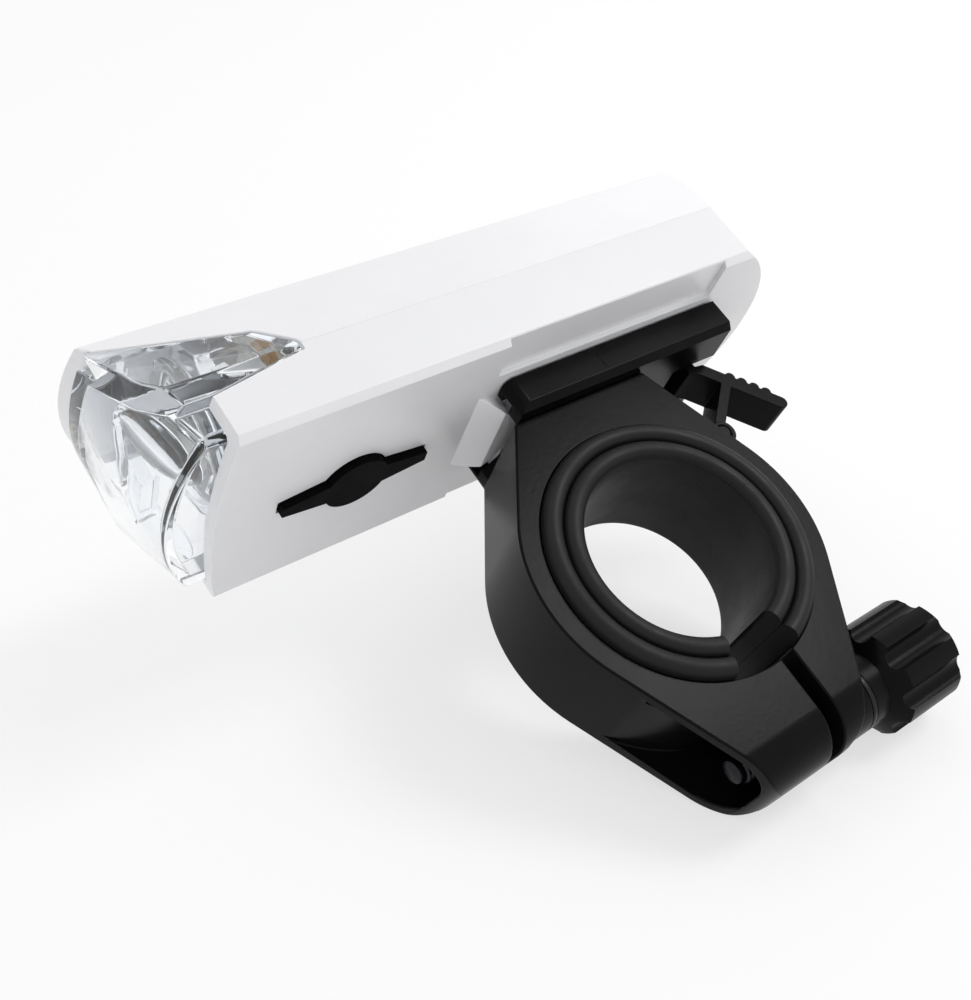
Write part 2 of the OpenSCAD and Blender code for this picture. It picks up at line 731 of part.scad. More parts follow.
module lower_shell() color("#f1f1f2") {
    difference() {
        union() {
            difference() {
                intersection() {
                    lamp_outer();
                    box([-far, -far, lamp_z - over], [far, far, seam_z]);
                }
                lamp_cavity();
                scoops();
            }
            rail();
            shell_posts();
        }
        windows(0, lamp_hw - wall - over, lamp_hw + over);
        seal_groove(seat_fit);
        at_button(lamp_z - over, floor_z + over) button_outline(button_gap);
        box([rail_rear - over, -tooth_slot_w, rail_head_z - over], [tooth_x + tooth_t + swing_gap, tooth_slot_w, lamp_z]);
        box([-far, -cover_w / 2 - free_fit, cover_low - 0.6], [cover_floor, cover_w / 2 + free_fit, cover_low + cover_h + free_fit]);
        box([-far, -plug_w / 2 - 2 * free_fit, port_z - socket[2] / 2 - free_fit],
            [inner_rear + socket_back, plug_w / 2 + 2 * free_fit, port_z + socket[2] / 2 + free_fit]);
    }
}

module seam_seal() color("#d9dadb") seal_groove(0);

// Light unit

// The clear nose from a start to its round front, whose chin leans back
module nose(x0, inset, bevel, skin) intersection() {
    section_bar(x0, nose_front + over) lamp_section(inset, bevel);
    along_z(lamp_z - over, lamp_top + over, nose_r - skin, [nose_front - nose_r, 0]);
    translate([nose_front - nose_r / cos(nose_lean), 0, chin_z]) rotate([0, nose_lean, 0])
        translate([0, 0, -lamp_tall]) cylinder(h = 2 * lamp_tall, r = nose_r - skin);
}

module front_lens() color("#dfe7ee", 0.35) difference() {
    union() {
        nose(lens_rear, lens_inset, lamp_bevel / 2, 0);
        intersection() {
            nose(window_tip_x, seat_fit, lamp_bevel, 0);
            windows(seat_fit, top_w / 2 + over, lamp_hw);
        }
    }
    nose(lens_rear - over, lens_inset + lens_wall, 0.1, lens_wall);
}

module lens_gasket() color("#d9dadb") difference() {
    section_bar(lens_rear - gasket_t, lens_rear) lamp_section(wall, lamp_bevel / 2);
    section_bar(lens_rear - gasket_t - over, lens_rear + over) lamp_section(lens_inset + lens_wall, 0.1);
    windows(0, top_w / 2, lamp_hw + over);
}

module on_axis() translate([0, 0, axis_z]) children();

module collimator() color("#e6edf2", 0.35) on_axis() difference() {
    rotate([0, 90, 0]) union() {
        translate([0, 0, collimator_back]) cylinder(h = collimator_foot_l, r = collimator_foot_d / 2);
        translate([0, 0, collimator_back + collimator_foot_l])
            cylinder(h = collimator_l - 2 * collimator_foot_l, r1 = collimator_foot_d / 2, r2 = collimator_d / 2 - collimator_step);
        translate([0, 0, collimator_x - collimator_foot_l]) cylinder(h = collimator_foot_l, r = collimator_d / 2);
    }
    along_x(collimator_back - over, collimator_back + well_depth, led_side / 2 + 0.6);
}

module reflector() color("#d5d8dc") difference() {
    union() {
        section_bar(reflector_x, reflector_x + reflector_t) lamp_section(lens_inset + lens_wall + free_fit, 0.1);
        for (side = [-1, 1], up = [-1, 1])
            along_x(led_board_x, reflector_x + over / 2, reflector_foot / 2, [side * reflector_foot_y, axis_z + up * reflector_foot_z]);
    }
    on_axis() along_x(reflector_x - over, reflector_x + reflector_t + over, collimator_d / 2 - collimator_step + free_fit);
    for (side = [-1, 1]) translate([reflector_x - over, side * (side_led_y + 2.6), axis_z])
        rotate([0, 90, 0]) cylinder(h = reflector_t + 2 * over, r1 = 1.4, r2 = 2.4);
}

module led_board() color("#e9e9e4") on_axis() difference() {
    box([led_board_x - led_board_t, -led_board_w / 2, -led_board_h / 2], [led_board_x, led_board_w / 2, led_board_h / 2]);
    led_screw_holes(led_board_x - led_board_t - over, led_board_x + over, 0.8);
}

module led_screw_holes(x0, x1, r) for (side = [-1, 1]) along_x(x0, x1, r, [side * led_screw_y, led_screw_z]);

module led_heat_plate() color("#a9adb2") {
    x1 = led_board_x - led_board_t;
    difference() {
        on_axis() box([x1 - heat_t, -led_board_w / 2, -led_board_h / 2], [x1, led_board_w / 2, led_board_h / 2]);
        on_axis() led_screw_holes(x1 - heat_t - over, x1 + over, 0.75);
    }
    for (side = [-1, 1]) translate([0, side * (led_board_w - heat_leg_w) / 2, 0])
        box([x1 - heat_t, -heat_leg_w / 2, floor_z], [x1, heat_leg_w / 2, axis_z - led_board_h / 2 + seat_fit]);
}

module main_led() color("#e8c860") on_axis() {
    box([led_board_x, -led_side / 2, -led_side / 2], [led_board_x + led_t / 2, led_side / 2, led_side / 2]);
    along_x(led_board_x + led_t / 2, led_board_x + led_t, led_side / 2 - 0.4);
}

module side_leds() color("#c98a2b") on_axis() for (side = [-1, 1])
    translate([led_board_x, side * side_led_y, 0])
        box([0, -side_led[1] / 2, -side_led[2] / 2], [side_led[0], side_led[1] / 2, side_led[2] / 2]);

module board_screws() color("#b4b6ba") on_axis() for (side = [-1, 1]) {
    at = [side * led_screw_y, led_screw_z];
    along_x(led_board_x - led_board_t - heat_t, led_board_x, 0.7, at);
    along_x(led_board_x, led_board_x + 0.8, led_screw_head / 2, at);
}

// Battery and boards

module battery_cell() color("#3f6fb0") {
    along_x(cell_rear, cell_front - 1, cell_r, [0, cell_z]);
    along_x(cell_front - 1, cell_front, cell_r / 3, [0, cell_z]);
}

module cell_cradle() color("#2a2a2c") difference() {
    union() {
        for (x = [cradle_rear_x, cradle_front_x])
            box([x, -cradle_hw, floor_z], [x + cradle_t, cradle_hw, cell_z - cell_r / 2]);
        for (side = [-1, 1]) translate([0, side * (cradle_hw - cradle_rail / 2), 0])
            box([cradle_rear_x, -cradle_rail / 2, floor_z], [cradle_front_x + cradle_t, cradle_rail / 2, floor_z + cradle_rail]);
    }
    along_x(cell_rear - over, cell_front + over, cell_r + seat_fit, [0, cell_z]);
}

module cell_tabs() color("#cfcfc9") {
    box([cell_front, -tab_w / 2, cell_z - tab_h / 2], [cell_front + tab_t, tab_w / 2, cell_z + cell_r / 3]);
    box([cell_rear - tab_t, -tab_w / 2, charge_z], [cell_rear, tab_w / 2, cell_z + cell_r / 3]);
}

module control_board() color("#2f6b45")
    box([control_rear, -board_hw, control_z], [control_front, board_hw, control_z + board_t]);

module button_switch() color("#8d9094") {
    translate([button_x, 0, 0])
        box([-switch_side / 2, -switch_side / 2, control_z - switch_h], [switch_side / 2, switch_side / 2, control_z]);
    along_z(plunger_z, control_z - switch_h + 0.1, plunger_d / 2, [button_x, 0]);
}

module charge_board() color("#2f6b45")
    box([charge_rear, -charge_hw, charge_z], [charge_front, charge_hw, charge_z + board_t]);

module usb_socket() color("#c9ccd0") translate([inner_rear + socket_back, 0, socket_floor_z]) difference() {
    box([0, -socket[1] / 2, 0], [socket[0], socket[1] / 2, socket[2]]);
    box([-over, -socket[1] / 2 + socket_wall, socket_wall],
        [socket[0] - 1, socket[1] / 2 - socket_wall, socket[2] - socket_wall]);
}

// Button and cover

module power_button() color("#161617") {
    at_button(lamp_z - button_proud, floor_z - button_travel - free_fit) button_outline(0);
    along_z(lamp_z, flange_z + flange_t, button_d / 2, [button_x, 0]);
    along_z(flange_z, flange_z + flange_t, button_d / 2 + button_gap + flange_rim, [button_x, 0]);
    along_z(flange_z + flange_t / 2, flange_z + flange_t + stem_h, stem_d / 2, [button_x, 0]);
}

module usb_cover() color("#202022") {
    box([-lamp_end, -cover_w / 2, cover_low], [-lamp_end + cover_t, cover_w / 2, cover_low + cover_h]);
    box([-lamp_end + cover_t / 2, -plug_w / 2, port_z - plug_h / 2],
        [-lamp_end + cover_t + plug_l, plug_w / 2, port_z + plug_h / 2]);
    along_y(cover_w, hinge_r, cover_pin);
}

clamp_ring();
outer_liner();
inner_liner();
clamp_nut();
slide_shoe();
bracket_screw();
clamp_washer();
clamp_screw();
knob();
release_lever();
upper_shell();
lower_shell();
seam_seal();
front_lens();
lens_gasket();
collimator();
reflector();
led_board();
main_led();
side_leds();
led_heat_plate();
board_screws();
battery_cell();
cell_cradle();
cell_tabs();
control_board();
button_switch();
charge_board();
usb_socket();
power_button();
usb_cover();
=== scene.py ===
"""Dress a bicycle headlight and its handlebar clamp for a studio picture.

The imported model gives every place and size. Each sub-assembly is a class that
softens the moulded edges of its own pieces, adds the details that a solid
leaves out, and gives every surface its finish.
"""

import json
import logging
import math
from dataclasses import dataclass, field
from enum import Enum
from typing import Callable, Iterable, Optional, Sequence

import bpy
from mathutils import Matrix, Vector

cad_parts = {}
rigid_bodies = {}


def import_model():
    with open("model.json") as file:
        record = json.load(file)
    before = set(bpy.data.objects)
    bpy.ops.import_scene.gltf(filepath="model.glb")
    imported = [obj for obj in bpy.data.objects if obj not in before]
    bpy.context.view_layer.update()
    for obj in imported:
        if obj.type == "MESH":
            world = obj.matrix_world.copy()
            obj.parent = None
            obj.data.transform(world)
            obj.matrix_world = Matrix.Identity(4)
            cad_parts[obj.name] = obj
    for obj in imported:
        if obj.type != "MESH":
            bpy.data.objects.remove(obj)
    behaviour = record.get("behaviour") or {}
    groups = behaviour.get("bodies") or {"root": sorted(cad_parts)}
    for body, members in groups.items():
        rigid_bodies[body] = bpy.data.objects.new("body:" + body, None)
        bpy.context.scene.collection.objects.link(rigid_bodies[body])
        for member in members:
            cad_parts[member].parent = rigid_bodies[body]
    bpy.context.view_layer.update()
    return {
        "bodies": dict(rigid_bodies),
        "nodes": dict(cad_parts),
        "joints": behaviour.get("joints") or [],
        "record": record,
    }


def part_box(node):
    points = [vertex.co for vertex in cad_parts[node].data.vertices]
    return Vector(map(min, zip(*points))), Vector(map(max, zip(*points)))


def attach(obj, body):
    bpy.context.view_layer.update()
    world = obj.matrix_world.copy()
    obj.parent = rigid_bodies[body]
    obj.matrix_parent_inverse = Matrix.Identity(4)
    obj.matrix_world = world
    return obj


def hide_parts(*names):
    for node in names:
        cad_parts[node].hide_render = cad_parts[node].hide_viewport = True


LOG = logging.getLogger("headlight")

MM = 0.001

# Part of a noise pattern between its dark and its light patches.
NOISE_SPAN = (0.3, 0.7)
# Sockets of the colour mixing node, by number.
MIX_SHARE = 0
MIX_A = 6
MIX_B = 7
MIX_RESULT = 2
# Points of a mesh that lie closer than this are one point.
WELD = 0.002 * MM
# Faces that meet at less than this angle are one flat.
FLAT_DEG = 0.6
# Edges of a node that are sharper than this are rounded.
EDGE_DEG = 28.0
# Edges sharper than this stay sharp in the shading, on rounded nodes and on turned pieces.
CREASE_DEG = 50.0
TURNED_CREASE_DEG = 40.0
# A face whose normal has more than this along an axis faces that way.
FACING = 0.9

Colour = tuple[float, float, float, float]
Triple = tuple[float, float, float]
Tree = bpy.types.NodeTree
Socket = bpy.types.NodeSocket
MaterialParts = tuple[bpy.types.Material, Tree, bpy.types.Node, Socket]


def linear(hex_code: str) -> Colour:
    """Turn an sRGB hex colour into linear values.

    Args:
        hex_code: Six hex digits after a hash sign.

    Returns:
        Red, green, blue and a full alpha, in linear light.
    """
    channels = [int(hex_code[i:i + 2], 16) / 255 for i in (1, 3, 5)]
    lin = [c / 12.92 if c <= 0.04045 else ((c + 0.055) / 1.055) ** 2.4 for c in channels]
    return (lin[0], lin[1], lin[2], 1.0)


def per_metre(feature_mm: float) -> float:
    """Return the texture scale at which one pattern cell is as wide as a real feature.

    Args:
        feature_mm: Width of the real feature in millimetres.
    """
    return 1.0 / (feature_mm * MM)


def add_node(
    tree: Tree,
    kind: str,
    settings: Optional[dict] = None,
    links: Optional[dict] = None,
) -> bpy.types.Node:
    """Add one shader node with its settings and its incoming links.

    Args:
        tree: Node tree of the material or the world.
        kind: Blender's name of the node type.
        settings: Values by the name of an input socket, or of a property of the node.
        links: Output sockets by the name or number of the input that each one feeds.

    Returns:
        The new node.
    """
    node = tree.nodes.new(kind)
    for name, value in (settings or {}).items():
        if isinstance(name, int) or name in node.inputs:
            node.inputs[name].default_value = value
        else:
            setattr(node, name, value)
    for name, source in (links or {}).items():
        tree.links.new(source, node.inputs[name])
    return node


def noise(
    tree: Tree,
    place: Socket,
    cell_mm: float,
    detail: float = 2.0,
    rough: float = 0.5,
) -> Socket:
    """Add a cloudy pattern.

    Args:
        tree: Node tree that gets the node.
        place: Coordinates that the pattern follows.
        cell_mm: Width of its largest patches in millimetres.
        detail: Number of finer layers.
        rough: How strong the finer layers are.

    Returns:
        The pattern, mostly between 0.3 and 0.7.
    """
    settings = {"Scale": per_metre(cell_mm), "Detail": detail, "Roughness": rough}
    return add_node(tree, "ShaderNodeTexNoise", settings, {"Vector": place}).outputs["Fac"]


def spread(
    tree: Tree,
    source: Socket,
    low: float,
    high: float,
    span: tuple[float, float] = NOISE_SPAN,
) -> Socket:
    """Stretch a pattern over a range of values.

    Args:
        tree: Node tree that gets the node.
        source: The pattern's output.
        low: Value at the lower end of the pattern's span and below.
        high: Value at the upper end and above.
        span: The part of the pattern that is stretched.

    Returns:
        The stretched value.
    """
    settings = {"From Min": span[0], "From Max": span[1], "To Min": low, "To Max": high}
    return add_node(tree, "ShaderNodeMapRange", settings, {"Value": source}).outputs["Result"]


def largest(tree: Tree, *values: Socket) -> Socket:
    """Return the largest of some values, as the output of a chain of nodes."""
    top = values[0]
    for value in values[1:]:
        larger = add_node(tree, "ShaderNodeMath", {"operation": "MAXIMUM"}, {0: top, 1: value})
        top = larger.outputs["Value"]
    return top


@dataclass(frozen=True)
class Finish:
    """What every finish shares: a name, a tone and a way to make its material."""

    name: str
    tone: str

    def start(self) -> MaterialParts:
        """Make an empty material.

        Returns:
            The material, its tree, its shader and the piece's own coordinates.
        """
        material = bpy.data.materials.new(self.name)
        material.use_nodes = True
        tree = material.node_tree
        tree.nodes.clear()
        shader = add_node(tree, "ShaderNodeBsdfPrincipled", {"Base Color": linear(self.tone)})
        add_node(tree, "ShaderNodeOutputMaterial", links={"Surface": shader.outputs["BSDF"]})
        place = add_node(tree, "ShaderNodeTexCoord").outputs["Object"]
        return material, tree, shader, place

    def tint(self, tree: Tree, shader: bpy.types.Node, share: Socket, other: str) -> None:
        """Mix a second tone into the finish's own.

        Args:
            tree: The material's tree.
            shader: Its shader.
            share: How much of the second tone shows, from 0 to 1.
            other: The second tone, as a hex colour.
        """
        settings = {"data_type": "RGBA", MIX_A: linear(self.tone), MIX_B: linear(other)}
        mixed = add_node(tree, "ShaderNodeMix", settings, {MIX_SHARE: share})
        tree.links.new(mixed.outputs[MIX_RESULT], shader.inputs["Base Color"])

    def emboss(self, tree: Tree, shader: bpy.types.Node, height: Socket, depth_mm: float) -> None:
        """Raise a pattern from the surface.

        Args:
            tree: The material's tree.
            shader: Its shader.
            height: The pattern.
            depth_mm: Its depth in millimetres.
        """
        settings = {"Strength": 1.0, "Distance": depth_mm * MM}
        bump = add_node(tree, "ShaderNodeBump", settings, {"Height": height})
        tree.links.new(bump.outputs["Normal"], shader.inputs["Normal"])

    def material(self) -> bpy.types.Material:
        """Build the material of this finish."""
        raise NotImplementedError


@dataclass(frozen=True)
class MouldedPlastic(Finish):
    """Injection-moulded plastic: a thin skin with a fine spark-eroded grain and faint flow marks."""

    rough: float = 0.35
    ior: float = 1.5
    specular: float = 0.5
    grain_mm: float = 0.35
    grain_depth_mm: float = 0.01
    flow_mm: float = 9.0
    flow_tone: str = "#ffffff"
    flow_share: float = 0.05
    rough_spread: float = 0.06

    def material(self) -> bpy.types.Material:
        """Build the plastic.

        Returns:
            The finished material.
        """
        material, tree, shader, place = self.start()
        flow = noise(tree, place, self.flow_mm, detail=4.0, rough=0.6)
        self.tint(tree, shader, spread(tree, flow, 0.0, self.flow_share), self.flow_tone)
        gloss = add_node(
            tree,
            "ShaderNodeMath",
            {"operation": "MULTIPLY_ADD", 1: self.rough_spread, 2: self.rough - self.rough_spread / 2},
            {0: flow},
        )
        tree.links.new(gloss.outputs["Value"], shader.inputs["Roughness"])
        grain = noise(tree, place, self.grain_mm, detail=3.0, rough=0.55)
        self.emboss(tree, shader, grain, self.grain_depth_mm)
        shader.inputs["IOR"].default_value = self.ior
        shader.inputs["Specular IOR Level"].default_value = self.specular
        return material


@dataclass(frozen=True)
class Rubber(Finish):
    """Moulded rubber: matt, with a dull bloom in patches and pale dust specks."""

    rough: float = 0.6
    ior: float = 1.5
    specular: float = 0.22
    grain_mm: float = 0.5
    grain_depth_mm: float = 0.02
    bloom_mm: float = 7.0
    duller: float = 0.1
    glossier: float = 0.08
    dust_mm: float = 1.3
    dust_tone: str = "#4a4a4c"
    dust_share: float = 0.5
    speck_span: tuple[float, float] = (0.03, 0.09)

    def material(self) -> bpy.types.Material:
        """Build the rubber.

        Returns:
            The finished material.
        """
        material, tree, shader, place = self.start()
        specks = add_node(
            tree,
            "ShaderNodeTexVoronoi",
            {"Scale": per_metre(self.dust_mm), "Randomness": 1.0},
            {"Vector": place},
        ).outputs["Distance"]
        dust = spread(tree, specks, self.dust_share, 0.0, self.speck_span)
        bloom = noise(tree, place, self.bloom_mm, detail=5.0, rough=0.65)
        dusty = add_node(tree, "ShaderNodeMath", {"operation": "MULTIPLY"}, {0: dust, 1: bloom})
        self.tint(tree, shader, dusty.outputs["Value"], self.dust_tone)
        gloss = spread(tree, bloom, self.rough - self.glossier, self.rough + self.duller)
        tree.links.new(gloss, shader.inputs["Roughness"])
        self.emboss(tree, shader, noise(tree, place, self.grain_mm), self.grain_depth_mm)
        shader.inputs["IOR"].default_value = self.ior
        shader.inputs["Specular IOR Level"].default_value = self.specular
        return material


@dataclass(frozen=True)
class ClearPlastic(Finish):
    """Polished clear acrylic: sharp refraction, with the slight waviness of a moulded face."""

    rough: float = 0.015
    ior: float = 1.49
    wave_mm: float = 5.0
    wave_depth_mm: float = 0.04
    bends: float = 4.5

    def material(self) -> bpy.types.Material:
        """Build the clear plastic, which lets shadow rays and much-bent rays straight through.

        Returns:
            The finished material.
        """
        material, tree, shader, place = self.start()
        self.emboss(tree, shader, noise(tree, place, self.wave_mm, detail=1.0), self.wave_depth_mm)
        shader.inputs["Roughness"].default_value = self.rough
        shader.inputs["IOR"].default_value = self.ior
        shader.inputs["Transmission Weight"].default_value = 1.0
        path = add_node(tree, "ShaderNodeLightPath").outputs
        settings = {"operation": "GREATER_THAN", 1: self.bends}
        deep = add_node(tree, "ShaderNodeMath", settings, {0: path["Ray Depth"]}).outputs["Value"]
        share = largest(tree, path["Is Shadow Ray"], path["Is Diffuse Ray"], deep)
        through = add_node(tree, "ShaderNodeBsdfTransparent", {"Color": linear(self.tone)})
        mixed = add_node(
            tree,
            "ShaderNodeMixShader",
            links={0: share, 1: shader.outputs["BSDF"], 2: through.outputs["BSDF"]},
        )
        tree.links.new(mixed.outputs["Shader"], tree.nodes["Material Output"].inputs["Surface"])
        return material


@dataclass(frozen=True)
class Metal(Finish):
    """Plated or bare metal with the lines of its drawing, rolling or turning."""

    rough: float = 0.3
    rough_share: float = 0.2
    line_mm: float = 0.3
    stretch: Triple = (0.08, 1.0, 1.0)
    line_depth_mm: float = 0.004
    patch_mm: float = 4.0
    tarnish_tone: str = "#6f6f70"
    tarnish_share: float = 0.25

    def material(self) -> bpy.types.Material:
        """Build the metal.

        Returns:
            The finished material.
        """
        material, tree, shader, place = self.start()
        drawn = add_node(tree, "ShaderNodeMapping", {"Scale": self.stretch}, {"Vector": place})
        lines = noise(tree, drawn.outputs["Vector"], self.line_mm, detail=3.0)
        patches = noise(tree, place, self.patch_mm, detail=4.0)
        self.tint(tree, shader, spread(tree, patches, 0.0, self.tarnish_share), self.tarnish_tone)
        swing = self.rough * self.rough_share
        gloss = spread(tree, lines, self.rough - swing, self.rough + swing)
        tree.links.new(gloss, shader.inputs["Roughness"])
        self.emboss(tree, shader, lines, self.line_depth_mm)
        shader.inputs["Metallic"].default_value = 1.0
        return material


@dataclass(frozen=True)
class CircuitBoard(Finish):
    """Solder mask over copper: a glossy coat with raised tracks in a right-angled net."""

    rough: float = 0.3
    track_tone: str = "#4f8a5e"
    track_mm: float = 1.6
    track_depth_mm: float = 0.03
    track_span: tuple[float, float] = (0.42, 0.5)

    def material(self) -> bpy.types.Material:
        """Build the board's surface.

        Returns:
            The finished material.
        """
        material, tree, shader, place = self.start()
        cells = add_node(
            tree,
            "ShaderNodeTexVoronoi",
            {"feature": "F1", "distance": "CHEBYCHEV", "Scale": per_metre(self.track_mm)},
            {"Vector": place},
        ).outputs["Distance"]
        tracks = spread(tree, cells, 0.0, 1.0, self.track_span)
        self.tint(tree, shader, tracks, self.track_tone)
        self.emboss(tree, shader, tracks, self.track_depth_mm)
        shader.inputs["Roughness"].default_value = self.rough
        return material


class Coat(Enum):
    """The finishes of this lamp, by the record's slot that each one stands for."""

    # Glass-filled nylon, moulded: near black, a low sheen and a sandy grain that catches the light.
    BLACK_NYLON = MouldedPlastic(
        "glass_filled_nylon", "#0b0b0c", rough=0.24, specular=0.06, grain_mm=0.55,
        grain_depth_mm=0.012, flow_tone="#121213", flow_share=0.6, rough_spread=0.14,
    )
    # Natural rubber, moulded: black, matt and slightly dusty.
    LINER_RUBBER = Rubber("moulded_rubber", "#1b1b1c", rough=0.46, specular=0.16)
    # Zinc-plated steel: pale grey with fine drawing lines.
    ZINC_STEEL = Metal("zinc_plated_steel", "#b9bbbd", rough=0.3)
    # Black-oxide steel: dark grey and oily, with darker patches.
    DARK_STEEL = Metal(
        "black_oxide_steel", "#2f2f32", rough=0.34, tarnish_tone="#1c1c1e", tarnish_share=0.5,
    )
    # White ABS, satin mould: a soft highlight, hardly any grain.
    WHITE_ABS = MouldedPlastic(
        "white_abs", "#ededef", rough=0.3, specular=0.4, grain_mm=0.4,
        grain_depth_mm=0.006, flow_tone="#e4e4e7", flow_share=0.3, rough_spread=0.08,
    )
    # Silicone cord: pale, dull and hardly to be told from the white shells.
    SEAL_RUBBER = Rubber("silicone_seal", "#d9dadb", rough=0.65, dust_tone="#b4b5b7")
    # Acrylic, polished mould: clear, with sharp edges of light.
    CLEAR_PLASTIC = ClearPlastic("clear_acrylic", "#fcfdfe")
    # Vacuum-plated plastic: a bright mirror with faint waves.
    BRIGHT_PLATING = Metal(
        "vacuum_plating", "#eff0f2", rough=0.1, line_mm=3.0, stretch=(1.0, 1.0, 1.0),
        line_depth_mm=0.03, tarnish_tone="#dcdfe3", tarnish_share=0.4,
    )
    # White solder mask over an aluminium core: eggshell white with square pads.
    WHITE_BOARD = CircuitBoard("white_solder_mask", "#e4e3dc", track_tone="#cfcdbf", track_mm=2.4)
    # Phosphor in silicone: yellow and grainy, under a clear skin.
    LED_PHOSPHOR = MouldedPlastic(
        "led_phosphor", "#d8a13c", rough=0.25, grain_mm=0.2, grain_depth_mm=0.01, flow_mm=1.2,
        flow_tone="#8a5a22", flow_share=0.8,
    )
    # Rolled aluminium sheet: pale, with lines along the roll.
    BARE_ALUMINIUM = Metal("rolled_aluminium", "#c9cacc", rough=0.32, stretch=(1.0, 0.06, 1.0))
    # Shrink wrap: blue, glossy, with broad creases.
    CELL_WRAP = MouldedPlastic(
        "shrink_wrap", "#3b6aa8", rough=0.22, grain_mm=2.5, grain_depth_mm=0.05,
        flow_tone="#2d5590", flow_share=0.6,
    )
    # Nickel strip: warm grey, drawn along its length.
    NICKEL_STRIP = Metal("nickel_strip", "#c8c6c0", rough=0.26)
    # Green solder mask: glossy with raised copper tracks.
    GREEN_BOARD = CircuitBoard("green_solder_mask", "#2f6b41")
    # Silicone rubber of the button: black, matt and smooth to the touch.
    BUTTON_RUBBER = Rubber("button_silicone", "#0b0b0c", rough=0.5, specular=0.012, grain_depth_mm=0.008)

    @property
    def slot(self) -> str:
        """Return the record's slot for this finish."""
        return self.name.lower()


@dataclass
class Wardrobe:
    """Holds one material for each finish, made when it is first asked for."""

    made: dict[Coat, bpy.types.Material] = field(default_factory=dict)

    def dress(self, piece: bpy.types.Object, coat: Coat) -> None:
        """Give a piece one finish all over.

        Args:
            piece: The mesh object.
            coat: The finish that it gets.
        """
        if coat not in self.made:
            self.made[coat] = coat.value.material()
        if piece.material_slots:
            for place in piece.material_slots:
                place.material = self.made[coat]
        else:
            piece.data.materials.append(self.made[coat])


def pick_only(piece: bpy.types.Object) -> None:
    """Select one object alone and make it the active one."""
    bpy.ops.object.select_all(action="DESELECT")
    piece.select_set(True)
    bpy.context.view_layer.objects.active = piece


def settle(piece: bpy.types.Object) -> None:
    """Put a piece's place into its mesh, so its object sits at the origin."""
    pick_only(piece)
    bpy.ops.object.transform_apply(location=True, rotation=True, scale=True)


def finish_modifier(piece: bpy.types.Object, kind: str, settings: dict) -> None:
    """Add one modifier to a piece and apply it.

    Args:
        piece: The mesh object.
        kind: Blender's name of the modifier type.
        settings: The modifier's properties by name.
    """
    pick_only(piece)
    modifier = piece.modifiers.new(kind.title(), kind)
    for name, value in settings.items():
        setattr(modifier, name, value)
    bpy.ops.object.modifier_apply(modifier=modifier.name)


def round_edges(piece: bpy.types.Object, edge_mm: float, rings: int) -> None:
    """Round the sharp edges of a new piece.

    Args:
        piece: The mesh object.
        edge_mm: Width of the rounded edge.
        rings: Segments across it.
    """
    finish_modifier(piece, "BEVEL", {"width": edge_mm * MM, "segments": rings, "limit_method": "ANGLE"})


def smooth(piece: bpy.types.Object, angle_deg: float = 32.0) -> None:
    """Shade a piece smooth, apart from edges sharper than an angle."""
    pick_only(piece)
    bpy.ops.object.shade_smooth_by_angle(angle=math.radians(angle_deg))


def edit_all(piece: bpy.types.Object) -> None:
    """Open a piece in edit mode with all of it selected."""
    pick_only(piece)
    bpy.ops.object.mode_set(mode="EDIT")
    bpy.ops.mesh.select_all(action="SELECT")


def close_outward() -> None:
    """Turn every face of the piece that is being edited outward, and leave edit mode."""
    bpy.ops.mesh.select_all(action="SELECT")
    bpy.ops.mesh.normals_make_consistent(inside=False)
    bpy.ops.object.mode_set(mode="OBJECT")


def metres(place_mm: Triple) -> Triple:
    """Turn a place or a size in millimetres into metres."""
    return (place_mm[0] * MM, place_mm[1] * MM, place_mm[2] * MM)


def select_faces(piece: bpy.types.Object, test: Callable[[bpy.types.MeshPolygon], bool]) -> None:
    """Select the faces that a test names, in face mode, and stay in edit mode.

    Args:
        piece: The mesh object.
        test: Says whether a face is wanted.
    """
    pick_only(piece)
    bpy.ops.object.mode_set(mode="EDIT")
    bpy.ops.mesh.select_mode(type="FACE")
    bpy.ops.mesh.select_all(action="DESELECT")
    bpy.ops.object.mode_set(mode="OBJECT")
    for face in piece.data.polygons:
        face.select = test(face)
    bpy.ops.object.mode_set(mode="EDIT")


def join(name: str, pieces: Sequence[bpy.types.Object]) -> bpy.types.Object:
    """Join objects into one.

    Args:
        name: Name of the joined piece.
        pieces: The objects, of which the first one stays.

    Returns:
        The joined object.
    """
    pick_only(pieces[0])
    for piece in pieces:
        piece.select_set(True)
    bpy.ops.object.join()
    pieces[0].name = name
    return pieces[0]


def copy_of(piece: bpy.types.Object, shift: Vector) -> bpy.types.Object:
    """Copy a piece with a mesh of its own.

    Args:
        piece: The object to copy.
        shift: How far the copy is moved.

    Returns:
        The copy, with its place in its mesh.
    """
    other = piece.copy()
    other.data = piece.data.copy()
    bpy.context.scene.collection.objects.link(other)
    other.data.transform(Matrix.Translation(shift))
    return other


